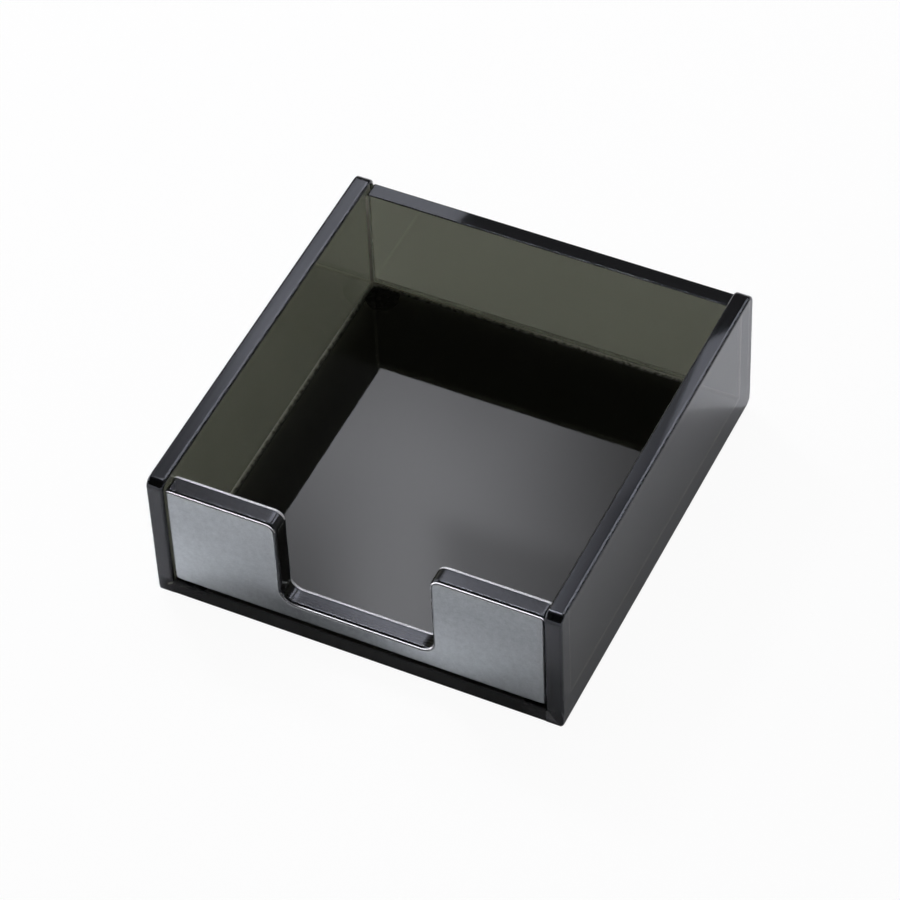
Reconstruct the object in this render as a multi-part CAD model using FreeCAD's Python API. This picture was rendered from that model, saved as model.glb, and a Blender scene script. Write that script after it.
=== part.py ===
import FreeCAD, Part
import math
import os

# Open memo paper tray glued from five sheets of smoke-tinted acrylic, on four stick-on feet.
# Millimetres. +X to the right, +Y to the back, +Z up. The origin is on the table, under the middle of the tray.

# Tray
tray_width = 95.0
tray_depth = 100.7
wall_height = 34.0
cement_film = 0.05

# Side walls
side_sheet = 4.0
side_corner_radius = 2.2
side_arris = 0.7

# Base panel, flush with the side walls' lower and front edges
base_sheet = 4.0

# Front wall, set back from the side walls' front edges and lower than they are
front_sheet = 5.0
front_recess = 0.6
front_step_down = 1.75
front_outer_arris = 1.0
front_inner_arris = 0.5
front_corner_radius = 1.1
notch_width = 35.0
notch_sill = 5.0
notch_mouth_radius = 2.5
notch_floor_radius = 3.0

# Back wall
back_sheet = 4.0
back_inset = 0.15
back_step_down = 2.0
back_arris = 0.5
back_corner_radius = 0.6

# Stick-on feet, one under each corner
foot_diameter = 8.0
foot_thickness = 1.5
foot_draft = 0.35
foot_edge_radius = 0.4
foot_side_inset = 6.8
foot_end_inset = 4.9

# Beads of dried cement along the inner joints
floor_bead_leg = 0.7
floor_bead_hollow_share = 0.35
corner_bead_leg = 0.5
corner_bead_hollow_share = 0.35

# Places that follow from the sizes
half_width = tray_width / 2
front_edge = -tray_depth / 2
back_edge = tray_depth / 2
underside = foot_thickness
rim = underside + wall_height
base_top = underside + base_sheet
inner_half_width = half_width - side_sheet
panel_half_width = inner_half_width - cement_film
panel_foot = base_top + cement_film
front_outer = front_edge + front_recess
front_inner = front_outer + front_sheet
front_rim = rim - front_step_down
back_outer = back_edge - back_inset
back_inner = back_outer - back_sheet
back_rim = rim - back_step_down
notch_floor = base_top + notch_sill


def across(depth):
    """Places outline points (along X, up) on the plane that lies at that depth."""
    return lambda u, v: FreeCAD.Vector(u, depth, v)


def along(side):
    """Places outline points (along Y, up) on the plane that lies at that side."""
    return lambda u, v: FreeCAD.Vector(side, u, v)


def rounded_face(corners, place):
    """Face inside square corners (u, v, radius), each rounded by its own radius."""
    points = [place(u, v) for u, v, _ in corners]
    edges = []
    starts = []
    ends = []
    for i, (u, v, radius) in enumerate(corners):
        point = points[i]
        before = (points[i - 1] - point).normalize()
        after = (points[(i + 1) % len(points)] - point).normalize()
        start = point + before * radius
        end = point + after * radius
        starts.append(start)
        ends.append(end)
        if radius:
            centre = start + after * radius
            middle = centre + (point - centre).normalize() * radius
            edges.append(Part.Arc(start, middle, end).toShape())
    for i in range(len(corners)):
        edges.append(Part.LineSegment(ends[i - 1], starts[i]).toShape())
    return Part.Face(Part.Wire(Part.__sortEdges__(edges)))


def edges_where(shape, test):
    """Edges of the shape whose middle passes the test."""
    found = []
    for edge in shape.Edges:
        if test(edge.valueAt((edge.FirstParameter + edge.LastParameter) / 2)):
            found.append(edge)
    return found


def near(a, b):
    """Whether two places are the same."""
    return math.isclose(a, b, abs_tol=cement_film / 10)


def side_wall(sign):
    """Full-height sheet with three rounded corners and eased edges; its lower front corner is square."""
    outer = sign * half_width
    inner = sign * inner_half_width
    corners = [
        (front_edge, underside, 0),
        (back_edge, underside, side_corner_radius),
        (back_edge, rim, side_corner_radius),
        (front_edge, rim, side_corner_radius),
    ]
    sheet = rounded_face(corners, along(outer)).extrude(FreeCAD.Vector(inner - outer, 0, 0))
    eased = edges_where(sheet, lambda p: near(p.x, outer) or near(p.x, inner))
    return sheet.makeFillet(side_arris, eased)


def base_panel():
    """Sheet between the side walls that the front and back walls stand on."""
    size = (2 * panel_half_width, back_outer - front_edge, base_sheet)
    return Part.makeBox(*size, FreeCAD.Vector(-panel_half_width, front_edge, underside))


def cross_wall(outline, outer, inner, top_radius, foot_radius, outer_arris, inner_arris):
    """Sheet across the tray: polished round along its top outline, square at its ends and foot."""
    sheet = rounded_face(outline, across(outer)).extrude(FreeCAD.Vector(0, inner - outer, 0))

    def polished(face):
        def test(p):
            return near(p.y, face) and not near(abs(p.x), panel_half_width) and not near(p.z, panel_foot)

        return test

    half_polished = sheet.makeFillet(outer_arris, edges_where(sheet, polished(outer)))
    polished_sheet = half_polished.makeFillet(inner_arris, edges_where(half_polished, polished(inner)))
    top = max(v for _, v, _ in outline)
    ends = [
        (-panel_half_width, panel_foot, foot_radius),
        (panel_half_width, panel_foot, foot_radius),
        (panel_half_width, top, top_radius),
        (-panel_half_width, top, top_radius),
    ]
    envelope = rounded_face(ends, across(outer)).extrude(FreeCAD.Vector(0, inner - outer, 0))
    return polished_sheet.common(envelope)


def front_wall():
    """Front sheet with the finger notch; the notch and the top edges are polished round."""
    mouth = notch_width / 2
    outline = [
        (-panel_half_width, panel_foot, 0),
        (panel_half_width, panel_foot, 0),
        (panel_half_width, front_rim, 0),
        (mouth, front_rim, notch_mouth_radius),
        (mouth, notch_floor, notch_floor_radius),
        (-mouth, notch_floor, notch_floor_radius),
        (-mouth, front_rim, notch_mouth_radius),
        (-panel_half_width, front_rim, 0),
    ]
    radius = front_corner_radius
    arrises = (front_outer_arris, front_inner_arris)
    return cross_wall(outline, front_outer, front_inner, radius, radius, *arrises)


def back_wall():
    """Plain back sheet with polished top edges and rounded top corners."""
    outline = [
        (-panel_half_width, panel_foot, 0),
        (panel_half_width, panel_foot, 0),
        (panel_half_width, back_rim, 0),
        (-panel_half_width, back_rim, 0),
    ]
    return cross_wall(outline, back_outer, back_inner, back_corner_radius, 0, back_arris, back_arris)


def foot(x, y):
    """Round stick-on foot: a short taper with a rounded lower edge and a flat sole."""
    top_radius = foot_diameter / 2
    sole_radius = top_radius - foot_draft
    cone = Part.makeCone(sole_radius, top_radius, foot_thickness, FreeCAD.Vector(x, y, 0))
    sole_edge = edges_where(cone, lambda p: near(p.z, 0))
    return cone.makeFillet(foot_edge_radius, sole_edge)


def bead_section(leg, hollow_share, corner, first, second):
    """Hollow-faced corner bead: two legs from the corner along first and second, joined by a shallow arc."""
    tip_one = corner + first * leg
    tip_two = corner + second * leg
    middle = corner + (first + second) * (leg * hollow_share)
    edges = [
        Part.LineSegment(corner, tip_one).toShape(),
        Part.Arc(tip_one, middle, tip_two).toShape(),
        Part.LineSegment(tip_two, corner).toShape(),
    ]
    return Part.Wire(edges)


def floor_bead():
    """Bead all round the bottom of the bay, where the four walls meet the base."""
    corners = [
        (-inner_half_width, front_inner),
        (inner_half_width, front_inner),
        (inner_half_width, back_inner),
        (-inner_half_width, back_inner),
    ]
    points = [FreeCAD.Vector(x, y, base_top) for x, y in corners]
    up = FreeCAD.Vector(0, 0, 1)
    runs = []
    for i, start in enumerate(points):
        run = points[(i + 1) % len(points)] - start
        into_bay = up.cross(run).normalize()
        section = bead_section(floor_bead_leg, floor_bead_hollow_share, start, into_bay, up)
        runs.append(Part.Face(section).extrude(run))
    return runs[0].multiFuse(runs[1:]).removeSplitter()


def corner_bead(sign, wall_face, into_bay, top):
    """Upright bead in one corner of the bay, standing on the floor bead."""
    corner = FreeCAD.Vector(sign * inner_half_width, wall_face, base_top + floor_bead_leg)
    first = FreeCAD.Vector(-sign, 0, 0)
    second = FreeCAD.Vector(0, into_bay, 0)
    section = bead_section(corner_bead_leg, corner_bead_hollow_share, corner, first, second)
    return Part.Face(section).extrude(FreeCAD.Vector(0, 0, top - corner.z))


def build():
    """All sub-parts by name."""
    parts = {
        "left_wall": side_wall(-1),
        "right_wall": side_wall(1),
        "base_panel": base_panel(),
        "front_wall": front_wall(),
        "back_wall": back_wall(),
        "cement_floor_bead": floor_bead(),
    }
    foot_x = half_width - foot_side_inset
    foot_y = back_edge - foot_end_inset
    for side, sign in (("left", -1), ("right", 1)):
        parts["foot_front_" + side] = foot(sign * foot_x, -foot_y)
        parts["foot_back_" + side] = foot(sign * foot_x, foot_y)
        front_top = front_rim - front_corner_radius
        back_top = back_rim - back_corner_radius
        parts["cement_bead_front_" + side] = corner_bead(sign, front_inner, 1, front_top)
        parts["cement_bead_back_" + side] = corner_bead(sign, back_inner, -1, back_top)
    return parts


def main():
    os.makedirs("parts", exist_ok=True)
    for name, shape in build().items():
        solid = shape.Solids[0] if len(shape.Solids) == 1 else shape
        print(name, "solids", len(shape.Solids), "valid", shape.isValid(), "volume", round(shape.Volume, 3))
        solid.exportStep(os.path.join("parts", name + ".step"))


main()
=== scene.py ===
import math

import bmesh
import bpy
from mathutils import Matrix, Vector


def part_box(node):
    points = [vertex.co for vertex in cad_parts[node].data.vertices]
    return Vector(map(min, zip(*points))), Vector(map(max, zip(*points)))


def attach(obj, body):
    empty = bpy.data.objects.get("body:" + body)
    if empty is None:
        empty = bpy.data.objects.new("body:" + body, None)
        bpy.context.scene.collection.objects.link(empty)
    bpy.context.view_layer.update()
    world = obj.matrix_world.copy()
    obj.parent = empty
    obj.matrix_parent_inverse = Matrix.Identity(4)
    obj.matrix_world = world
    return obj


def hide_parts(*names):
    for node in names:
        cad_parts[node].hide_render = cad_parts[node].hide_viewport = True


# Open memo paper tray: five sheets of smoke-tinted acrylic glued together, on four stick-on feet.
# Metres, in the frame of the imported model: +X right, +Y back, +Z up, the floor at Z = 0.

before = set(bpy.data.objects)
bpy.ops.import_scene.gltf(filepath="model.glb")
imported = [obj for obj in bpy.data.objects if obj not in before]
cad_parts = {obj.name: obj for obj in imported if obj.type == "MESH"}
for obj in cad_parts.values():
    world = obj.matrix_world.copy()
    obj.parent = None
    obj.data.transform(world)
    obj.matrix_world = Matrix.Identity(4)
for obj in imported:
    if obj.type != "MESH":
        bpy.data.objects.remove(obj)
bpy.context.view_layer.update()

MM = 0.001

# Two places nearer than this along an axis are the same; edges are picked with a little more room
SAME_PLACE = 0.004 * MM
PICK_ROOM = 0.1 * MM
LONG_EDGE = 10 * MM
SMOOTH_ANGLE = 40
FLATS_WEIGHT = 100

# Edge finish of the sheets, with the steps that each rounding is made of
SIDE_CORNER = 2.2 * MM
SIDE_CORNER_STEPS = 14
SIDE_ARRIS = 0.7 * MM
SIDE_ARRIS_STEPS = 6
FRONT_CORNER = 1.1 * MM
FRONT_CORNER_STEPS = 7
FRONT_OUTER_ARRIS = 1.0 * MM
FRONT_INNER_ARRIS_SHARE = 0.5
FRONT_FOOT_ARRIS_SHARE = 0.8
FRONT_ARRIS_STEPS = 8
NOTCH_HALF_WIDTH = 17.5 * MM
NOTCH_FLOOR = 10.5 * MM
NOTCH_MOUTH_RADIUS = 2.5 * MM
NOTCH_FLOOR_RADIUS = 3.0 * MM
NOTCH_STEPS = 12
BACK_CORNER = 0.6 * MM
BACK_CORNER_STEPS = 7
BACK_ARRIS = 0.35 * MM
BACK_ARRIS_STEPS = 6
BASE_ARRIS = 0.15 * MM
BASE_ARRIS_STEPS = 3
# How far a glued edge sinks into its neighbour, so that no air is left in the joint
WELD = 0.1 * MM

# Feet
FOOT_SIDES = 56
FOOT_TAPER_SHARE = 0.91
FOOT_SOLE_EDGE = 0.4 * MM
FOOT_SOLE_EDGE_STEPS = 5
FOOT_TOP_EDGE = 0.12 * MM
FOOT_TOP_EDGE_STEPS = 3
FOOT_SOLE_RIM = 0.6 * MM
FOOT_SOLE_SLOPE = 0.25 * MM
FOOT_SOLE_SINK = 0.08 * MM
FOOT_SMOOTH_ANGLE = 50

# Beads of dried cement
BEAD_LEG = 0.7 * MM
BEAD_CLEARANCE = 0.02 * MM
BEAD_HOLLOW_SHARE = 0.94
BEAD_HOLLOW_PROFILE = 0.12
BEAD_HOLLOW_STEPS = 5
BEAD_CUTS = 59
BEAD_WANDER = 0.008 * MM
BEAD_WANDER_SEED = 4
BEAD_SMOOTH_ANGLE = 60
CORNER_BEAD_LEG = 0.5 * MM
CORNER_BEAD_HOLLOW_SHARE = 0.92
CORNER_BEAD_CUTS = 27
CORNER_BEAD_TOP_SHARE = 0.4
CORNER_BEAD_WANDER = 0.015 * MM
CORNER_BEAD_EVEN_TOP = 1.0 * MM
CORNER_BEAD_WANDER_SEED = 7

# Below, a ramp is given as its start and end, and its levels there where they aren't nought and one.
# A band is given as its start, where it is whole, where it stops being whole, and its end.

# Smoke-tinted acrylic: what a metre of it takes out of red, green and blue
SMOKE_DENSITY = 525.0
BASE_DENSITY = 700.0
SMOKE_COLOUR = (0.21, 0.22, 0.10, 1.0)
ACRYLIC_IOR = 1.49
POLISH_IOR = 1.35
POLISH_ROUGHNESS = 0.02
COOL_SHEEN = (0.78, 0.82, 1.0, 1.0)
PLAIN_SHEEN = (1.0, 1.0, 1.0, 1.0)
FULL_EDGE_POLISH = 1.0
FRONT_EDGE_POLISH = 0.7
BASE_EDGE_POLISH = 0.0
# How squarely a surface looks along the thin way of its sheet where it is a face and not a sawn edge
SHEET_FACE = (0.90, 0.99)
SMEAR_SCALE = 900
SMEAR_ROUGHNESS = (0.35, 0.75, 0.012, 0.03)
CUT_ROUGHNESS = 0.015
SAW_SCALE = 1800
SAW_DEPTH = 0.0005 * MM
FRONT_SAW_DEPTH = 0.005 * MM
# Saw lines and scored streaks: drawn out to 25 times their width
STREAK_DRAW = 0.04
STREAK_DETAIL = 2.0
STREAK_ROUGHNESS = 0.6
DUST_SCALE = 300
DUST_SIZE = 0.045
DUST_SHARE = 0.22
DUST_SETTLES = (0.7, 0.95)
DUST_COVER = 0.7
DUST_GREY = (0.55, 0.55, 0.55, 1.0)
CLEAR = (1.0, 1.0, 1.0, 1.0)

# Satin outer face of the front sheet: its tone, from deep to pale, changes with height and place and carries
# painted light and shade: painted lighter low down, a painted shadow low in the middle, and painted shade
# deeper to the right
SATIN_GREY_DEEP = (0.24, 0.25, 0.252, 1.0)
SATIN_GREY_PALE = (0.78, 0.815, 0.82, 1.0)
SATIN_ROUGHNESS = 0.30
SATIN_FACE = (0.90, 0.985)
PAINTED_LIGHT_BY_HEIGHT = (9 * MM, 28 * MM, 0.86, 0.5)
PAINTED_SHADE_TO_RIGHT = (0.0, 22 * MM, 0.0, 0.16)
PAINTED_SHADOW_WIDTH = (-34 * MM, -14 * MM, 0.0, 20 * MM)
PAINTED_SHADOW_HEIGHT = (16 * MM, 9 * MM)
PAINTED_SHADOW_SHARE = 0.7
MOTTLE_SCALES = (700, 2600)
MOTTLE_SHARE = 0.6

# Painted highlights: thin pale lines painted on the front sheet's arrises where they look up
LOOKS_UP = (0.08, 0.35)
OUTER_HIGHLIGHT_BAND = (0.60, 0.66, 0.78, 0.86)
OUTER_HIGHLIGHT_GREY = (0.40, 0.40, 0.40, 1.0)
OUTER_HIGHLIGHT_ROUGHNESS = 0.2
# The outer painted highlight is a metallic band that gathers light from overhead, its normal turned as if its
# surface looked up
LIGHT_SIDE = (0.0, -0.15, 0.99)
# The inner painted highlight and the dull strip beside it lie this far from the front sheet's face on the bay
# side
INNER_HIGHLIGHT_BAND = (-0.85 * MM, -0.75 * MM)
INNER_HIGHLIGHT_WHITE = (0.86, 0.86, 0.86, 1.0)
INNER_HIGHLIGHT_ROUGHNESS = 0.35
BESIDE_INNER_HIGHLIGHT = (-1.2 * MM, -1.1 * MM, -0.8 * MM, -0.7 * MM)
# Fine scored streaks on the front sheet's level edges
SCORE_SCALE = 3200
SCORE_LINES = (0.5, 0.64)
SCORE_LEVEL = (0.98, 0.999)
SCORE_COVER = 0.05

# Dried cement
CEMENT_IOR = 1.06
CEMENT_DEEP = (0.14, 0.14, 0.11, 1.0)
CEMENT_PALE = (0.50, 0.50, 0.38, 1.0)
CEMENT_POOL = (0.62, 0.62, 0.50, 1.0)
CEMENT_WHITE = (0.98, 0.96, 0.84, 1.0)
CEMENT_PALE_RISE = (0.0, 0.4)
POOL_REACH = (0.6 * MM, 2.6 * MM, 1.0, 0.0)
BUBBLE_SCALE = 3800
BUBBLE_SIZE = 0.6
BUBBLE_SHARE = 0.9
BUBBLE_RISE = (0.45, 0.8)
BUBBLE_DEPTH = 0.004 * MM
CEMENT_UPPER_EDGE = (0.8, 0.97)
SPECKLE_SCALE = 2600
SPECKLE = (0.38, 0.6, 0.45, 1.0)
UPRIGHT_START = 0.1 * MM
UPRIGHT_WHITE = 0.95
CLOUD_SCALE = 700
CLOUD_DETAIL = 4.0
CLOUD_ROUGHNESS = 0.6
CLOUD = (0.35, 0.65, 0.6, 1.0)
CEMENT_ROUGHNESS = (0.6, 1.0, 0.15, 0.4)
VEIL = 0.75
POOL_VEIL = 0.2
STRING_COVER = 0.8

# Rubber of the feet
RUBBER_BLACK = (0.012, 0.012, 0.013, 1.0)
RUBBER_WORN = (0.035, 0.034, 0.033, 1.0)
PEBBLE_SCALE = 4200
PEBBLE_DETAIL = 4.0
PEBBLE_ROUGHNESS = 0.65
PEBBLE_DEPTH = 0.02 * MM
PEBBLE_STRENGTH = 0.6
WEAR_SCALE = 500
WEAR_SHADE = (0.4, 0.7)
WEAR_ROUGHNESS = (0.3, 0.7, 0.5, 0.75)
# Pale rim at the top of each foot: partly adhesive, partly a painted glint on the foot's edge
ADHESIVE_AND_GLINT_RIM = (-0.16 * MM, -0.1 * MM)
ADHESIVE_AND_GLINT_SCALE = 900
ADHESIVE_AND_GLINT_PATCHES = (0.42, 0.6)
ADHESIVE_AND_GLINT_PALE = (0.22, 0.22, 0.20, 1.0)

# Floor and walls of the studio
FLOOR_SIZE = 8
PAPER_WHITE = (0.97, 0.97, 0.97, 1.0)
FLOOR_GLOW_CAMERA = 0.95
FLOOR_GLOW_IN_GLASS = (90 * MM, 300 * MM, 0.0, 0.8)
# Where the studio in front of the tray turns into the one behind it, and what the two are like
FRONT_TO_BACK = (-0.2, 0.3)
WALL_TOPS = (0.15, 0.10)
WALL_LEVELS = (1.1, 1.2)
CEILING_LEVELS = (0.05, 0.19)
WALL_FADE = 0.06
STUDIO_BLUE = (0.93, 0.94, 1.0)

# The softbox hangs level. Its edges and the patches of its cloth are given as shares of its height. Across is
# measured on a slant over it, from the near left to the far right.
SOFTBOX_HEIGHT = 0.8
SOFTBOX_X = (-1.3, 0.3)
SOFTBOX_Y = (0.06, 1.0)
SOFTBOX_LEVEL = 2.05
ACROSS_X = 0.898
ACROSS_Y = 0.44
ACROSS_START = 0.0425
STREAK_RISE = (-0.15, -0.05, 0.32, 0.85)
STREAK_TOP = (-0.06, 0.0, 1.0, 1.18)
STREAK_FALL = (0.0, 0.15, 1.0, 0.2)
NEAR_LEFT_ACROSS = (-0.02, -0.07, 0.0, 0.5)
NEAR_LEFT_Y = (0.64, 0.8, 1.0, 0.0)
FRONT_RIGHT_ACROSS = (-0.005, 0.03)
FRONT_RIGHT_Y = (0.775, 0.745, 0.0, 0.33)
FAR_LEFT_X = (-0.37, -0.43)
FAR_LEFT_Y = (0.78, 0.88, 0.0, 0.28)
RIGHT_ACROSS = (0.145, 0.166, 0.0, 0.5)
RIGHT_STRIP_X = (-0.24, -0.18, 0.0, 0.8)
RIGHT_STRIP_Y = (0.55, 0.62)
KEY_X = (-0.92, -0.84, -0.64, -0.56)
KEY_Y = (0.36, 0.42, 0.54, 0.60)
KEY_LEVEL = 20.0
HOT_SPOT_X = (-0.50, -0.42, -0.25, -0.15)
HOT_SPOT_Y = (0.24, 0.30, 0.45, 0.58)
HOT_SPOT_LEVEL = 2.5
FAR_EDGE = (-0.473, -0.463, 0.97, 0.895)
FAR_EDGE_FADE = (-0.004, 0.004, 1.0, 0.0)

# The other two lamps: size across, size along, level, place and aim
SIDE_PANEL = (1.2, 0.8, 1.6, (-1.0, -0.12, 0.42), (0, 0, 0.01))
EDGE_LIGHT = (0.44, 0.36, 2.4, (0.62, 0.74, 0.8), (0.62, 0.74, 0))

# Camera: its angles in degrees, its sensor and lens, and its place in millimetres
VIEW_TURN = 27.4321
VIEW_RISE = 47.7215
VIEW_TILT = -2.8832
VIEW_SENSOR = 36
VIEW_LENS = 166.016
VIEW_MIDDLE = (0, -2.85, 20.5)
VIEW_TO_RIGHT = -0.1995
VIEW_UPWARDS = -1.729
VIEW_DISTANCE = 886.76

# How often light may bounce: enough to pass through two sheets and back
GLOSSY_BOUNCES = 12
TRANSMISSION_BOUNCES = 16
ALL_BOUNCES = 20


# Modelling

def nearly(a, b):
    """Whether two places along an axis are the same."""
    return abs(a - b) < SAME_PLACE


def start_block(name, low, high):
    """Adds a block between two corners and opens it in edit mode."""
    bpy.ops.object.select_all(action="DESELECT")
    bpy.ops.mesh.primitive_cube_add(size=1, location=(low + high) / 2, scale=high - low)
    return open_new(name)


def open_new(name):
    """Names the primitive just added, settles its place into its mesh and opens it in edit mode."""
    piece = bpy.context.object
    piece.name = piece.data.name = name
    bpy.ops.object.transform_apply(location=True, rotation=True, scale=True)
    bpy.ops.object.mode_set(mode="EDIT")
    bpy.ops.mesh.select_mode(type="EDGE")
    return piece


def select(kind, parts, test):
    """Selects those edges, faces or points of the open piece that pass the test."""
    bpy.ops.mesh.select_mode(type=kind)
    bpy.ops.mesh.select_all(action="DESELECT")
    mesh = bpy.context.object.data
    shape = bmesh.from_edit_mesh(mesh)
    for part in getattr(shape, parts):
        part.select_set(bool(test(part)))
    bmesh.update_edit_mesh(mesh)


def select_edges(test):
    """Selects the edges whose two ends pass the test."""
    select("EDGE", "edges", lambda edge: test(edge.verts[0].co, edge.verts[1].co))


def select_faces(test):
    """Selects the faces whose middle passes the test."""
    select("FACE", "faces", lambda face: test(face.calc_center_median()))


def select_points(test):
    """Selects the points that pass the test."""
    select("VERT", "verts", lambda point: test(point.co))


def cut_through(place, normal):
    """Cuts the whole open piece along a plane and keeps both sides."""
    bpy.ops.mesh.select_all(action="SELECT")
    bpy.ops.mesh.bisect(plane_co=place, plane_no=normal)


def round_off(radius, segments, profile=0.5):
    """Rounds the selected edges; a low profile leaves a hollow."""
    bpy.ops.mesh.bevel(
        offset=radius, segments=segments, profile=profile, affect="EDGES", clamp_overlap=False)


def ease_arrises(piece, radius, segments, groups):
    """Rounds the arrises: each group of edges gets its share of the radius."""
    for test, share in groups:
        select_edges(test)
        bpy.ops.transform.edge_bevelweight(value=share)
    bpy.ops.object.mode_set(mode="OBJECT")
    arris = piece.modifiers.new("arris", "BEVEL")
    arris.width = radius
    arris.segments = segments
    arris.limit_method = "WEIGHT"
    arris.use_clamp_overlap = False
    bpy.ops.object.modifier_apply(modifier=arris.name)
    bpy.ops.object.mode_set(mode="EDIT")


def leave(piece, angle=SMOOTH_ANGLE):
    """Closes edit mode, shades the roundings smooth and keeps the flats flat."""
    bpy.ops.mesh.select_all(action="SELECT")
    bpy.ops.mesh.normals_make_consistent(inside=False)
    bpy.ops.object.mode_set(mode="OBJECT")
    bpy.ops.object.shade_smooth_by_angle(angle=math.radians(angle))
    flats = piece.modifiers.new("flats", "WEIGHTED_NORMAL")
    flats.weight = FLATS_WEIGHT
    flats.keep_sharp = True
    bpy.ops.object.modifier_apply(modifier=flats.name)
    return piece


def own_copy(piece, name):
    """A copy of a finished piece with its own mesh, selected and active."""
    bpy.ops.object.select_all(action="DESELECT")
    piece.select_set(True)
    bpy.context.view_layer.objects.active = piece
    bpy.ops.object.duplicate(linked=False)
    copy = bpy.context.object
    copy.name = copy.data.name = name
    return copy


def mirror_across(piece, name):
    """The same piece on the other side of the tray."""
    copy = own_copy(piece, name)
    bpy.ops.object.mode_set(mode="EDIT")
    bpy.ops.mesh.select_all(action="SELECT")
    bpy.ops.transform.mirror(
        orient_type="GLOBAL", constraint_axis=(True, False, False), center_override=(0, 0, 0))
    return leave(copy)


def make_side_wall():
    """Left side sheet: three rounded corners, its lower front corner square, all its free arrises eased."""
    low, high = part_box("left_wall")
    base_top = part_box("base_panel")[1].z
    piece = start_block("left_side_sheet", low, high)

    def rounded_corner(a, b):
        across = nearly(a.y, b.y) and nearly(a.z, b.z)
        return across and not (nearly(a.y, low.y) and nearly(a.z, low.z))

    def level_cut(a, b):
        return nearly(a.z, base_top) and nearly(b.z, base_top)

    def outer(a, b):
        return nearly(a.x, low.x) and nearly(b.x, low.x) and not level_cut(a, b)

    def inner(a, b):
        above_base = min(a.z, b.z) > base_top - PICK_ROOM
        return nearly(a.x, high.x) and nearly(b.x, high.x) and above_base and not level_cut(a, b)

    select_edges(rounded_corner)
    round_off(SIDE_CORNER, SIDE_CORNER_STEPS)
    cut_through((0, 0, base_top), (0, 0, 1))
    ease_arrises(piece, SIDE_ARRIS, SIDE_ARRIS_STEPS, ((outer, 1), (inner, 1)))
    return leave(piece)


def make_base():
    """Base sheet between the side sheets."""
    low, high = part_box("base_panel")
    sunk = Vector((WELD, 0, 0))
    piece = start_block("base_sheet", low - sunk, high + sunk)
    select_edges(lambda a, b: nearly(a.y, b.y) and nearly(a.z, b.z))
    round_off(BASE_ARRIS, BASE_ARRIS_STEPS)
    return leave(piece)


def make_front_wall():
    """Front sheet: the finger notch is cut out of a block, then corners and arrises are polished round."""
    low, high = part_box("front_wall")
    low.x, high.x, low.z = low.x - WELD, high.x + WELD, low.z - WELD
    piece = start_block("front_sheet", low, high)
    cut_through((-NOTCH_HALF_WIDTH, 0, 0), (1, 0, 0))
    cut_through((NOTCH_HALF_WIDTH, 0, 0), (1, 0, 0))
    cut_through((0, 0, NOTCH_FLOOR), (0, 0, 1))
    select_faces(lambda centre: abs(centre.x) < NOTCH_HALF_WIDTH and centre.z > NOTCH_FLOOR)
    bpy.ops.mesh.delete(type="FACE")

    def notch_side(sign):
        def test(a, b):
            on_side = nearly(a.x, sign * NOTCH_HALF_WIDTH) and nearly(b.x, sign * NOTCH_HALF_WIDTH)
            return on_side and nearly(a.y, b.y) and max(a.z, b.z) > NOTCH_FLOOR + PICK_ROOM

        return test

    def notch_bottom(a, b):
        on_floor = nearly(a.z, NOTCH_FLOOR) and nearly(b.z, NOTCH_FLOOR)
        return on_floor and nearly(a.y, b.y) and nearly(a.x, -b.x)

    for test in (notch_side(-1), notch_side(1), notch_bottom):
        select_edges(test)
        bpy.ops.mesh.edge_face_add()
    bpy.ops.mesh.select_all(action="SELECT")
    bpy.ops.mesh.dissolve_limited(angle_limit=math.radians(1))

    def notch_mouth(p):
        return nearly(abs(p.x), NOTCH_HALF_WIDTH) and nearly(p.z, high.z)

    def notch_corner(p):
        return nearly(abs(p.x), NOTCH_HALF_WIDTH) and nearly(p.z, NOTCH_FLOOR)

    def outer_corner(p):
        return nearly(abs(p.x), high.x) and (nearly(p.z, high.z) or nearly(p.z, low.z))

    for test, radius, segments in (
        (notch_mouth, NOTCH_MOUTH_RADIUS, NOTCH_STEPS),
        (notch_corner, NOTCH_FLOOR_RADIUS, NOTCH_STEPS),
        (outer_corner, FRONT_CORNER, FRONT_CORNER_STEPS),
    ):
        select_edges(lambda a, b: test(a) and test(b) and nearly(a.x, b.x) and nearly(a.z, b.z))
        round_off(radius, segments)

    def foot(a, b):
        return nearly(a.z, low.z) and nearly(b.z, low.z)

    def glued(a, b):
        lowest = max(a.z, b.z) < low.z + FRONT_CORNER + PICK_ROOM
        return lowest or (nearly(abs(a.x), high.x) and nearly(abs(b.x), high.x))

    def outer(a, b):
        return nearly(a.y, low.y) and nearly(b.y, low.y)

    def inner(a, b):
        return nearly(a.y, high.y) and nearly(b.y, high.y)

    ease_arrises(piece, FRONT_OUTER_ARRIS, FRONT_ARRIS_STEPS, (
        (lambda a, b: outer(a, b) and not foot(a, b), 1),
        (lambda a, b: outer(a, b) and foot(a, b), FRONT_FOOT_ARRIS_SHARE),
        (lambda a, b: inner(a, b) and not glued(a, b), FRONT_INNER_ARRIS_SHARE),
    ))
    return leave(piece)


def make_back_wall():
    """Back sheet with rounded top corners and polished arrises."""
    low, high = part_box("back_wall")
    low.x, high.x, low.z = low.x - WELD, high.x + WELD, low.z - WELD
    piece = start_block("back_sheet", low, high)
    select_edges(lambda a, b: nearly(a.z, high.z) and nearly(b.z, high.z) and nearly(a.x, b.x))
    round_off(BACK_CORNER, BACK_CORNER_STEPS)

    def free(a, b):
        return nearly(a.y, b.y) and min(a.z, b.z) > high.z - BACK_CORNER - PICK_ROOM

    ease_arrises(piece, BACK_ARRIS, BACK_ARRIS_STEPS, ((free, 1),))
    return leave(piece)


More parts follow.
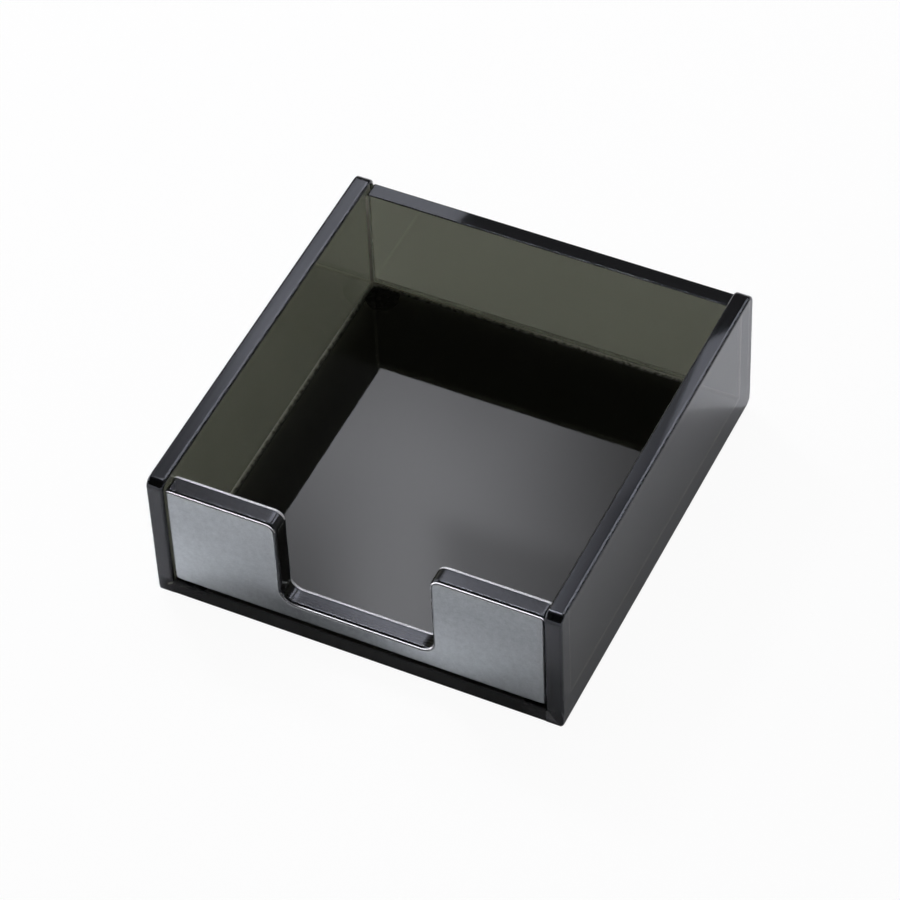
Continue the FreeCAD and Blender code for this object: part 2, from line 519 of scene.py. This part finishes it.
def make_foot(node, name):
    """Stick-on foot: a short taper with a rounded lower edge and a slightly sunk sole."""
    low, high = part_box(node)
    radius = (high.x - low.x) / 2
    bpy.ops.object.select_all(action="DESELECT")
    bpy.ops.mesh.primitive_cylinder_add(
        vertices=FOOT_SIDES, radius=radius, depth=high.z - low.z, location=(low + high) / 2)
    piece = open_new(name)
    select_faces(lambda centre: nearly(centre.z, low.z))
    bpy.ops.transform.resize(value=(FOOT_TAPER_SHARE, FOOT_TAPER_SHARE, 1))
    select_edges(lambda a, b: nearly(a.z, low.z) and nearly(b.z, low.z))
    round_off(FOOT_SOLE_EDGE, FOOT_SOLE_EDGE_STEPS)
    select_edges(lambda a, b: nearly(a.z, high.z) and nearly(b.z, high.z))
    round_off(FOOT_TOP_EDGE, FOOT_TOP_EDGE_STEPS)
    select_faces(lambda centre: nearly(centre.z, low.z))
    bpy.ops.mesh.inset(thickness=FOOT_SOLE_RIM)
    bpy.ops.mesh.inset(thickness=FOOT_SOLE_SLOPE)
    bpy.ops.transform.translate(value=(0, 0, FOOT_SOLE_SINK))
    return leave(piece, FOOT_SMOOTH_ANGLE)


def move_copy(piece, name, shift):
    """A copy of a foot under another corner."""
    copy = own_copy(piece, name)
    bpy.ops.object.mode_set(mode="EDIT")
    bpy.ops.mesh.select_all(action="SELECT")
    bpy.ops.transform.translate(value=shift)
    bpy.ops.object.mode_set(mode="OBJECT")
    return copy


def make_floor_bead():
    """Bead of dried cement all round the foot of the bay, hollow-faced and a little uneven."""
    low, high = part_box("cement_floor_bead")
    clear = Vector((BEAD_CLEARANCE, BEAD_CLEARANCE, 0))
    low, high = low + clear, high - clear
    bottom = low.z + BEAD_CLEARANCE
    middle = (low + high) / 2
    bpy.ops.object.select_all(action="DESELECT")
    bpy.ops.mesh.primitive_plane_add(size=1, location=(middle.x, middle.y, bottom))
    piece = bpy.context.object
    piece.scale = (high.x - low.x, high.y - low.y, 1)
    open_new("floor_cement_bead")
    bpy.ops.mesh.select_all(action="SELECT")
    bpy.ops.mesh.inset(thickness=BEAD_LEG)
    bpy.ops.mesh.delete(type="FACE")
    bpy.ops.mesh.select_all(action="SELECT")
    bpy.ops.mesh.extrude_region_move(TRANSFORM_OT_translate={"value": (0, 0, high.z - bottom)})

    def inside(p):
        return abs(p.x - middle.x) < high.x - middle.x - BEAD_LEG / 2 and (
            abs(p.y - middle.y) < high.y - middle.y - BEAD_LEG / 2)

    select_edges(lambda a, b: inside(a) and inside(b) and nearly(a.z, high.z) and nearly(b.z, high.z))
    round_off(BEAD_LEG * BEAD_HOLLOW_SHARE, BEAD_HOLLOW_STEPS, BEAD_HOLLOW_PROFILE)
    select_edges(lambda a, b: (a - b).length > LONG_EDGE)
    bpy.ops.mesh.subdivide(number_cuts=BEAD_CUTS)
    select_points(lambda p: inside(p) and p.z > bottom + BEAD_LEG / 8)
    bpy.ops.transform.vertex_random(offset=BEAD_WANDER, uniform=0.0, normal=0.0, seed=BEAD_WANDER_SEED)
    return leave(piece, BEAD_SMOOTH_ANGLE)


def make_corner_bead(node, name):
    """Upright bead in one corner of the bay, on the floor bead, thinning out towards the top."""
    low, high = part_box(node)
    left, front = low.x < 0, low.y < 0
    clear = BEAD_CLEARANCE * Vector((1 if left else -1, 1 if front else -1, 0))
    piece = start_block(name, low + clear, high + clear)
    bay_x = (high if left else low).x + clear.x
    bay_y = (high if front else low).y + clear.y
    select_edges(lambda a, b: all(nearly(p.x, bay_x) and nearly(p.y, bay_y) for p in (a, b)))
    round_off(CORNER_BEAD_LEG * CORNER_BEAD_HOLLOW_SHARE, BEAD_HOLLOW_STEPS, BEAD_HOLLOW_PROFILE)
    select_edges(lambda a, b: (a - b).length > LONG_EDGE)
    bpy.ops.mesh.subdivide(number_cuts=CORNER_BEAD_CUTS)
    wall_x = low.x + high.x + 2 * clear.x - bay_x
    wall_y = low.y + high.y + 2 * clear.y - bay_y
    select_points(lambda p: nearly(p.z, high.z))
    thinner = (CORNER_BEAD_TOP_SHARE, CORNER_BEAD_TOP_SHARE, 1)
    bpy.ops.transform.resize(value=thinner, center_override=(wall_x, wall_y, high.z))

    def free(p):
        off_walls = not nearly(p.x, wall_x) and not nearly(p.y, wall_y)
        return off_walls and low.z < p.z < high.z - CORNER_BEAD_EVEN_TOP

    select_points(free)
    bpy.ops.transform.vertex_random(
        offset=CORNER_BEAD_WANDER, uniform=0.0, normal=0.0, seed=CORNER_BEAD_WANDER_SEED)
    return leave(piece, BEAD_SMOOTH_ANGLE)


# Finishes

def new_material(name):
    """An empty node material, its tree and its output node."""
    material = bpy.data.materials.new(name)
    material.use_nodes = True
    tree = material.node_tree
    tree.nodes.clear()
    return material, tree, tree.nodes.new("ShaderNodeOutputMaterial")


def feed(tree, socket, value):
    """Links a socket to another, or sets its value."""
    if isinstance(value, bpy.types.NodeSocket):
        tree.links.new(value, socket)
    else:
        socket.default_value = value


def maths(tree, operation, *values, clamp=False):
    """A maths node fed by sockets or plain numbers."""
    node = tree.nodes.new("ShaderNodeMath")
    node.operation = operation
    node.use_clamp = clamp
    for socket, value in zip(node.inputs, values):
        feed(tree, socket, value)
    return node.outputs[0]


def times(tree, first, *others):
    """Product of several sockets or numbers."""
    for other in others:
        first = maths(tree, "MULTIPLY", first, other)
    return first


def plus(tree, first, *others, clamp=False):
    """Sum of several sockets or numbers."""
    for other in others:
        first = maths(tree, "ADD", first, other, clamp=clamp)
    return first


def rest(tree, share, clamp=False):
    """What a share leaves of one."""
    return maths(tree, "SUBTRACT", 1.0, share, clamp=clamp)


def split(tree, vector):
    """The three parts of a vector, by letter."""
    node = tree.nodes.new("ShaderNodeSeparateXYZ")
    tree.links.new(vector, node.inputs[0])
    return {letter: node.outputs[letter] for letter in "XYZ"}


def ramp(tree, value, start, end, low=0.0, high=1.0):
    """Soft step of a value from low at start to high at end."""
    node = tree.nodes.new("ShaderNodeMapRange")
    node.interpolation_type = "SMOOTHSTEP"
    feed(tree, node.inputs["Value"], value)
    for name, number in (("From Min", start), ("From Max", end), ("To Min", low), ("To Max", high)):
        feed(tree, node.inputs[name], number)
    return node.outputs["Result"]


def band(tree, value, start, full, end, gone):
    """One between full and end, and nothing before start or after gone."""
    return times(tree, ramp(tree, value, start, full), ramp(tree, value, end, gone, 1.0, 0.0))


def blend_colours(tree, share, first, second):
    """Colour that goes from the first to the second with the share."""
    node = tree.nodes.new("ShaderNodeMix")
    node.data_type = "RGBA"
    feed(tree, node.inputs[0], share)
    feed(tree, node.inputs[6], first)
    feed(tree, node.inputs[7], second)
    return node.outputs[2]


def stretched(tree, where, scale):
    """The piece's coordinates, drawn out along some of its axes."""
    node = tree.nodes.new("ShaderNodeMapping")
    node.inputs["Scale"].default_value = scale
    tree.links.new(where, node.inputs["Vector"])
    return node.outputs["Vector"]


def noise(tree, where, scale, detail=3.0, roughness=0.5):
    """Noise pattern on the piece's own coordinates, scale in bumps a metre."""
    node = tree.nodes.new("ShaderNodeTexNoise")
    node.inputs["Scale"].default_value = scale
    node.inputs["Detail"].default_value = detail
    node.inputs["Roughness"].default_value = roughness
    tree.links.new(where, node.inputs["Vector"])
    return node.outputs["Fac"]


def dots(tree, where, scale, size, share):
    """Round dots of a size, as a share of the space between them, in only a share of the places."""
    node = tree.nodes.new("ShaderNodeTexVoronoi")
    node.inputs["Scale"].default_value = scale
    tree.links.new(where, node.inputs["Vector"])
    chosen = maths(tree, "LESS_THAN", split(tree, node.outputs["Color"])["X"], share)
    return times(tree, ramp(tree, node.outputs["Distance"], size / 2, size, 1.0, 0.0), chosen)


def relief(tree, height, depth, strength=1.0, turned=None):
    """Fine relief of a depth in metres."""
    node = tree.nodes.new("ShaderNodeBump")
    if turned:
        tree.links.new(turned, node.inputs["Normal"])
    feed(tree, node.inputs["Strength"], strength)
    node.inputs["Distance"].default_value = depth
    tree.links.new(height, node.inputs["Height"])
    return node.outputs["Normal"]


def new_surface(tree):
    """A main shader with clear acrylic's refraction, and the coordinates and lean of the surface."""
    coords = tree.nodes.new("ShaderNodeTexCoord")
    body = tree.nodes.new("ShaderNodeBsdfPrincipled")
    body.inputs["IOR"].default_value = ACRYLIC_IOR
    return body, coords.outputs["Object"], split(tree, coords.outputs["Normal"])


def smoke_acrylic(
        name, thin, density, sheen, saw_depth, edge_polish=FULL_EDGE_POLISH, front_finish=None):
    """Clear smoke-tinted sheet, thin along one axis: polished faces, finely sawn edges, a little dust."""
    material, tree, out = new_material(name)
    body, where, lean = new_surface(tree)
    faces = ramp(tree, maths(tree, "ABSOLUTE", lean[thin]), *SHEET_FACE)
    cuts = rest(tree, faces)
    rough = ramp(tree, noise(tree, where, SMEAR_SCALE), *SMEAR_ROUGHNESS)
    rough = plus(tree, rough, times(tree, cuts, CUT_ROUGHNESS))
    drawn = [1.0, 1.0, 1.0]
    drawn["XYZ".index(thin)] = STREAK_DRAW
    saw_lines = noise(tree, stretched(tree, where, drawn), SAW_SCALE, STREAK_DETAIL, STREAK_ROUGHNESS)
    specks = dots(tree, where, DUST_SCALE, DUST_SIZE, DUST_SHARE)
    dust = times(tree, specks, ramp(tree, lean["Z"], *DUST_SETTLES))
    colour = blend_colours(tree, dust, CLEAR, DUST_GREY)
    cover = times(tree, dust, DUST_COVER)
    polish = ramp(tree, faces, 0.0, 1.0, edge_polish, 1.0)
    turned = tree.nodes.new("ShaderNodeNewGeometry").outputs["Normal"]
    if front_finish:
        colour, rough, cover, polish, turned, satin_and_highlight_metal = front_finish(
            tree, where, lean, colour, rough, cover, turned)
        feed(tree, body.inputs["Metallic"], satin_and_highlight_metal)
    feed(tree, body.inputs["Base Color"], colour)
    feed(tree, body.inputs["Roughness"], rough)
    feed(tree, body.inputs["Transmission Weight"], rest(tree, cover, clamp=True))
    feed(tree, body.inputs["Coat Weight"], polish)
    feed(tree, body.inputs["Normal"], relief(tree, saw_lines, saw_depth, cuts, turned))
    body.inputs["Coat Roughness"].default_value = POLISH_ROUGHNESS
    body.inputs["Coat IOR"].default_value = POLISH_IOR
    body.inputs["Specular Tint"].default_value = sheen
    tint = tree.nodes.new("ShaderNodeVolumeAbsorption")
    tint.inputs["Color"].default_value = SMOKE_COLOUR
    tint.inputs["Density"].default_value = density
    tree.links.new(body.outputs["BSDF"], out.inputs["Surface"])
    tree.links.new(tint.outputs["Volume"], out.inputs["Volume"])
    return material


def satin_grey_with_painted_shade(tree, where):
    """Mottled silvery grey with painted light and shade: painted lighter low down, a painted shadow low in
    the middle, and painted shade deeper to the right.
    """
    place = split(tree, where)
    coarse, fine = (times(tree, noise(tree, where, scale), 0.5) for scale in MOTTLE_SCALES)
    mottle = plus(tree, coarse, fine)
    # Painted shadow: a darker patch low in the middle of the face, standing in for the floor's shadow seen in
    # it
    painted_shadow_width = band(tree, place["X"], *PAINTED_SHADOW_WIDTH)
    painted_shadow = times(tree, painted_shadow_width, ramp(tree, place["Z"], *PAINTED_SHADOW_HEIGHT))
    # Painted light and shade: the tone is made lighter low down and darker towards the right
    tone = ramp(tree, place["Z"], *PAINTED_LIGHT_BY_HEIGHT)
    tone = maths(tree, "SUBTRACT", tone, times(tree, painted_shadow, PAINTED_SHADOW_SHARE))
    tone = maths(tree, "SUBTRACT", tone, ramp(tree, place["X"], *PAINTED_SHADE_TO_RIGHT))
    tone = plus(tree, tone, times(tree, maths(tree, "SUBTRACT", mottle, 0.5), MOTTLE_SHARE))
    return blend_colours(tree, tone, SATIN_GREY_DEEP, SATIN_GREY_PALE)


def satin_front(tree, where, lean, colour, rough, cover, turned):
    """The front sheet's own finish: a satin silvery outer face and thin pale painted highlights along its
    arrises.
    """
    outward = maths(tree, "MULTIPLY", lean["Y"], -1.0)
    face = ramp(tree, outward, *SATIN_FACE)
    upward = ramp(tree, lean["Z"], *LOOKS_UP)
    # Painted highlight: a grey metallic band on the outer arris where it looks up
    outer_highlight = times(tree, band(tree, outward, *OUTER_HIGHLIGHT_BAND), upward)
    bay_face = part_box("front_wall")[1].y
    depth = split(tree, where)["Y"]
    # Painted highlight: a white band on the top near the bay edge, where the arris looks up
    inner_highlight = times(tree, ramp(tree, depth, *(bay_face + edge for edge in INNER_HIGHLIGHT_BAND)), upward)
    beside_highlight = band(tree, depth, *(bay_face + edge for edge in BESIDE_INNER_HIGHLIGHT))
    polish = rest(tree, maths(tree, "MAXIMUM", beside_highlight, face))
    colour = blend_colours(tree, face, colour, satin_grey_with_painted_shade(tree, where))
    colour = blend_colours(tree, inner_highlight, colour, INNER_HIGHLIGHT_WHITE)
    colour = blend_colours(tree, outer_highlight, colour, OUTER_HIGHLIGHT_GREY)
    for share, added in (
        (face, SATIN_ROUGHNESS), (inner_highlight, INNER_HIGHLIGHT_ROUGHNESS), (outer_highlight, OUTER_HIGHLIGHT_ROUGHNESS),
    ):
        rough = plus(tree, rough, times(tree, share, added))
    streaks = noise(
        tree, stretched(tree, where, (1.0, STREAK_DRAW, 1.0)), SCORE_SCALE, STREAK_DETAIL, STREAK_ROUGHNESS)
    level = ramp(tree, lean["Z"], *SCORE_LEVEL)
    scored = times(tree, ramp(tree, streaks, *SCORE_LINES), level, SCORE_COVER)
    cover = plus(tree, cover, scored, plus(tree, outer_highlight, inner_highlight, clamp=True), clamp=True)
    gathered = tree.nodes.new("ShaderNodeMix")
    gathered.data_type = "VECTOR"
    feed(tree, gathered.inputs[0], outer_highlight)
    feed(tree, gathered.inputs[4], turned)
    feed(tree, gathered.inputs[5], LIGHT_SIDE)
    return colour, rough, cover, polish, gathered.outputs[1], maths(tree, "MAXIMUM", face, outer_highlight)


def dried_cement():
    """Clear cement that has filled the corners: a cloudy veil, pale and bubbly along its upper edge."""
    material, tree, out = new_material("dried_cement")
    body, where, lean = new_surface(tree)
    body.inputs["IOR"].default_value = CEMENT_IOR
    up = split(tree, where)["Z"]
    base_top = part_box("base_panel")[1].z
    bead_top = base_top + BEAD_LEG
    height = ramp(tree, up, base_top, bead_top)
    corner = tree.nodes.new("ShaderNodeVectorMath")
    corner.operation = "DISTANCE"
    tree.links.new(where, corner.inputs[0])
    corner.inputs[1].default_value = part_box("cement_bead_back_left")[0]
    pool = ramp(tree, corner.outputs["Value"], *POOL_REACH)
    bubbles = dots(tree, where, BUBBLE_SCALE, BUBBLE_SIZE, BUBBLE_SHARE)
    upright = ramp(tree, up, bead_top, bead_top + UPRIGHT_START, 0.0, UPRIGHT_WHITE)
    speckle = ramp(tree, noise(tree, where, SPECKLE_SCALE), *SPECKLE)
    speckled_edge = times(tree, ramp(tree, height, *CEMENT_UPPER_EDGE), speckle)
    string = maths(tree, "MAXIMUM", times(tree, bubbles, ramp(tree, height, *BUBBLE_RISE)), speckled_edge)
    string = maths(tree, "MAXIMUM", string, upright)
    cloud = ramp(tree, noise(tree, where, CLOUD_SCALE, CLOUD_DETAIL, CLOUD_ROUGHNESS), *CLOUD)
    colour = blend_colours(tree, ramp(tree, height, *CEMENT_PALE_RISE), CEMENT_DEEP, CEMENT_PALE)
    colour = blend_colours(tree, pool, colour, CEMENT_POOL)
    colour = blend_colours(tree, string, colour, CEMENT_WHITE)
    feed(tree, body.inputs["Base Color"], colour)
    feed(tree, body.inputs["Roughness"], ramp(tree, cloud, *CEMENT_ROUGHNESS))
    veil = times(tree, cloud, plus(tree, VEIL, times(tree, pool, POOL_VEIL)))
    cover = plus(tree, veil, times(tree, string, STRING_COVER), clamp=True)
    feed(tree, body.inputs["Transmission Weight"], rest(tree, cover, clamp=True))
    feed(tree, body.inputs["Normal"], relief(tree, bubbles, BUBBLE_DEPTH))
    tree.links.new(body.outputs["BSDF"], out.inputs["Surface"])
    return material


def black_rubber():
    """Matt black rubber with a fine pebble and a pale rim at the top, partly adhesive and partly a painted
    glint.
    """
    material, tree, out = new_material("black_rubber")
    body, where, lean = new_surface(tree)
    pebble = noise(tree, where, PEBBLE_SCALE, PEBBLE_DETAIL, PEBBLE_ROUGHNESS)
    wear = noise(tree, where, WEAR_SCALE)
    black = blend_colours(tree, ramp(tree, wear, *WEAR_SHADE), RUBBER_BLACK, RUBBER_WORN)
    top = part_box("foot_back_left")[1].z
    rim = ramp(tree, split(tree, where)["Z"], *(top + edge for edge in ADHESIVE_AND_GLINT_RIM))
    adhesive_and_glint = times(tree, rim, ramp(tree, noise(tree, where, ADHESIVE_AND_GLINT_SCALE), *ADHESIVE_AND_GLINT_PATCHES))
    feed(tree, body.inputs["Base Color"], blend_colours(tree, adhesive_and_glint, black, ADHESIVE_AND_GLINT_PALE))
    feed(tree, body.inputs["Roughness"], ramp(tree, wear, *WEAR_ROUGHNESS))
    feed(tree, body.inputs["Normal"], relief(tree, pebble, PEBBLE_DEPTH, PEBBLE_STRENGTH))
    tree.links.new(body.outputs["BSDF"], out.inputs["Surface"])
    return material


def dress(piece, material, slot, *nodes):
    """Gives a piece its finish and its place in the tray."""
    piece.data.materials.clear()
    piece.data.materials.append(material)
    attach(piece, "root")
    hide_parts(*nodes)


# Studio

def add_floor():
    """White paper, which stays white where the camera sees it and keeps the tray's shadow."""
    bpy.ops.object.select_all(action="DESELECT")
    bpy.ops.mesh.primitive_plane_add(size=FLOOR_SIZE)
    floor = bpy.context.object
    floor.name = "studio_floor"
    material, tree, out = new_material("studio_floor")
    paper = tree.nodes.new("ShaderNodeBsdfDiffuse")
    paper.inputs["Color"].default_value = PAPER_WHITE
    glow = tree.nodes.new("ShaderNodeEmission")
    glow.inputs["Strength"].default_value = 1
    light = tree.nodes.new("ShaderNodeLightPath")
    in_glass = maths(tree, "MAXIMUM", light.outputs["Is Glossy Ray"], light.outputs["Is Transmission Ray"])
    place = tree.nodes.new("ShaderNodeTexCoord").outputs["Object"]
    distance = tree.nodes.new("ShaderNodeVectorMath")
    distance.operation = "LENGTH"
    tree.links.new(place, distance.inputs[0])
    seen_in_glass = times(tree, in_glass, ramp(tree, distance.outputs["Value"], *FLOOR_GLOW_IN_GLASS))
    seen = times(tree, light.outputs["Is Camera Ray"], FLOOR_GLOW_CAMERA)
    share = maths(tree, "MAXIMUM", seen, seen_in_glass)
    mix = tree.nodes.new("ShaderNodeMixShader")
    feed(tree, mix.inputs[0], share)
    feed(tree, mix.inputs[1], paper.outputs[0])
    feed(tree, mix.inputs[2], glow.outputs[0])
    tree.links.new(mix.outputs[0], out.inputs["Surface"])
    floor.data.materials.append(material)


def add_world():
    """A plain studio: pale low round the horizon, dim above, and white where the camera sees it."""
    world = bpy.data.worlds.new("studio")
    bpy.context.scene.world = world
    world.use_nodes = True
    tree = world.node_tree
    tree.nodes.clear()
    out = tree.nodes.new("ShaderNodeOutputWorld")
    background = tree.nodes.new("ShaderNodeBackground")
    direction = split(tree, tree.nodes.new("ShaderNodeTexCoord").outputs["Generated"])
    ceiling = ramp(tree, direction["Y"], *FRONT_TO_BACK, *CEILING_LEVELS)
    wall = ramp(tree, direction["Y"], *FRONT_TO_BACK, *WALL_LEVELS)
    wall_top = ramp(tree, direction["Y"], *FRONT_TO_BACK, *WALL_TOPS)
    above_wall = maths(tree, "SUBTRACT", direction["Z"], wall_top)
    level = ramp(tree, above_wall, -WALL_FADE, WALL_FADE, wall, ceiling)
    seen = tree.nodes.new("ShaderNodeLightPath").outputs["Is Camera Ray"]
    white = tree.nodes.new("ShaderNodeMix")
    feed(tree, white.inputs[0], seen)
    feed(tree, white.inputs[2], level)
    feed(tree, white.inputs[3], 1.0)
    feed(tree, background.inputs["Strength"], white.outputs[0])
    tree.links.new(background.outputs[0], out.inputs["Surface"])


def hang_lamp(name, size_x, size_y, level, place, aim):
    """Rectangular soft lamp of a brightness, turned towards the aim."""
    lamp = bpy.data.lights.new(name, "AREA")
    lamp.shape = "RECTANGLE"
    lamp.size = size_x
    lamp.size_y = size_y
    lamp.energy = math.pi * size_x * size_y * level
    lamp.color = STUDIO_BLUE
    holder = bpy.data.objects.new(name, lamp)
    holder.location = place
    holder.rotation_euler = (Vector(place) - Vector(aim)).to_track_quat("Z", "Y").to_euler()
    holder.visible_camera = False
    holder.visible_transmission = False
    bpy.context.scene.collection.objects.link(holder)
    return holder


def dimmed(tree, level, *shares):
    """A level, dimmed where all the shares are high."""
    return times(tree, level, rest(tree, times(tree, *shares)))


def shade_softbox(lamp):
    """Uneven cloth of the softbox: a streak along it that is dimmer near the left, far to the left and front
    right, a pale right side, a bright key and a hot spot nearer the tray, and a cut-off far corner."""
    lamp.use_nodes = True
    tree = lamp.node_tree
    tree.nodes.clear()
    out = tree.nodes.new("ShaderNodeOutputLight")
    glow = tree.nodes.new("ShaderNodeEmission")
    place = split(tree, tree.nodes.new("ShaderNodeNewGeometry").outputs["Position"])
    x, y = (maths(tree, "DIVIDE", place[letter], SOFTBOX_HEIGHT) for letter in "XY")
    across = plus(tree, times(tree, x, ACROSS_X), times(tree, y, ACROSS_Y), ACROSS_START)
    streak = times(tree, ramp(tree, across, *STREAK_RISE), ramp(tree, across, *STREAK_TOP))
    streak = dimmed(tree, streak, ramp(tree, across, *NEAR_LEFT_ACROSS), ramp(tree, y, *NEAR_LEFT_Y))
    streak = dimmed(tree, streak, ramp(tree, across, *FRONT_RIGHT_ACROSS), ramp(tree, y, *FRONT_RIGHT_Y))
    streak = dimmed(tree, streak, ramp(tree, y, *FAR_LEFT_Y), ramp(tree, x, *FAR_LEFT_X))
    streak = times(tree, streak, ramp(tree, across, *STREAK_FALL))
    right_strip = times(tree, ramp(tree, x, *RIGHT_STRIP_X), ramp(tree, y, *RIGHT_STRIP_Y))
    right = plus(tree, ramp(tree, across, *RIGHT_ACROSS), right_strip)
    key = times(tree, band(tree, x, *KEY_X), band(tree, y, *KEY_Y), KEY_LEVEL)
    hot_spot = times(tree, band(tree, x, *HOT_SPOT_X), band(tree, y, *HOT_SPOT_Y), HOT_SPOT_LEVEL)
    past_edge = maths(tree, "SUBTRACT", y, ramp(tree, x, *FAR_EDGE))
    level = times(tree, plus(tree, streak, right, key, hot_spot), ramp(tree, past_edge, *FAR_EDGE_FADE))
    feed(tree, glow.inputs["Strength"], level)
    tree.links.new(glow.outputs[0], out.inputs["Surface"])


def add_lamps():
    """Large overhead softbox, a pale panel low on the left and a light that only polished edges show."""
    x0, x1 = (share * SOFTBOX_HEIGHT for share in SOFTBOX_X)
    y0, y1 = (share * SOFTBOX_HEIGHT for share in SOFTBOX_Y)
    place = ((x0 + x1) / 2, (y0 + y1) / 2, SOFTBOX_HEIGHT)
    softbox = hang_lamp("softbox", x1 - x0, y1 - y0, SOFTBOX_LEVEL, place, (place[0], place[1], 0))
    shade_softbox(softbox.data)
    hang_lamp("side_panel", *SIDE_PANEL)
    edge_light = hang_lamp("edge_light", *EDGE_LIGHT)
    edge_light.visible_diffuse = False


def add_camera():
    """The photograph's viewpoint."""
    turn, rise, tilt = (math.radians(angle) for angle in (VIEW_TURN, VIEW_RISE, VIEW_TILT))
    back = Vector((math.sin(turn) * math.cos(rise), -math.cos(turn) * math.cos(rise), math.sin(rise)))
    level = Vector((0, 0, 1)).cross(back).normalized()
    upright = back.cross(level)
    right = math.cos(tilt) * level + math.sin(tilt) * upright
    up = math.cos(tilt) * upright - math.sin(tilt) * level
    data = bpy.data.cameras.new("view")
    data.sensor_width = VIEW_SENSOR
    data.lens = VIEW_LENS
    camera = bpy.data.objects.new("view", data)
    bpy.context.scene.collection.objects.link(camera)
    place = Vector(VIEW_MIDDLE) + right * VIEW_TO_RIGHT + up * VIEW_UPWARDS + back * VIEW_DISTANCE
    turned = Matrix((right, up, back)).transposed().to_4x4()
    camera.matrix_world = Matrix.Translation(place * MM) @ turned
    bpy.context.scene.camera = camera


add_camera()
add_floor()
add_world()
add_lamps()
scene = bpy.context.scene
scene.view_settings.view_transform = "Standard"
scene.cycles.glossy_bounces = GLOSSY_BOUNCES
scene.cycles.transmission_bounces = TRANSMISSION_BOUNCES
scene.cycles.max_bounces = ALL_BOUNCES

side_finish = smoke_acrylic("smoke_side_sheet", "X", SMOKE_DENSITY, COOL_SHEEN, SAW_DEPTH)
left_side = make_side_wall()
right_side = mirror_across(left_side, "right_side_sheet")
dress(left_side, side_finish, "smoke_acrylic", "left_wall")
dress(right_side, side_finish, "smoke_acrylic", "right_wall")
base_finish = smoke_acrylic(
    "smoke_base_sheet", "Z", BASE_DENSITY, PLAIN_SHEEN, SAW_DEPTH, BASE_EDGE_POLISH)
dress(make_base(), base_finish, "smoke_acrylic", "base_panel")
front_finish = smoke_acrylic(
    "smoke_front_sheet", "Y", SMOKE_DENSITY, COOL_SHEEN, FRONT_SAW_DEPTH, FRONT_EDGE_POLISH, satin_front)
dress(make_front_wall(), front_finish, "smoke_acrylic", "front_wall")
back_finish = smoke_acrylic("smoke_back_sheet", "Y", SMOKE_DENSITY, COOL_SHEEN, SAW_DEPTH)
dress(make_back_wall(), back_finish, "smoke_acrylic", "back_wall")

rubber = black_rubber()
first_foot = make_foot("foot_back_left", "stick_on_foot_back_left")
first_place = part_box("foot_back_left")[0]
dress(first_foot, rubber, "foot_rubber", "foot_back_left")
for node in ("foot_back_right", "foot_front_left", "foot_front_right"):
    foot = move_copy(first_foot, "stick_on_" + node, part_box(node)[0] - first_place)
    dress(foot, rubber, "foot_rubber", node)

cement = dried_cement()
dress(make_floor_bead(), cement, "cement", "cement_floor_bead")
for end in ("front", "back"):
    node = "cement_bead_" + end
    bead = make_corner_bead(node + "_left", end + "_left_cement_bead")
    dress(bead, cement, "cement", node + "_left")
    dress(mirror_across(bead, end + "_right_cement_bead"), cement, "cement", node + "_right")
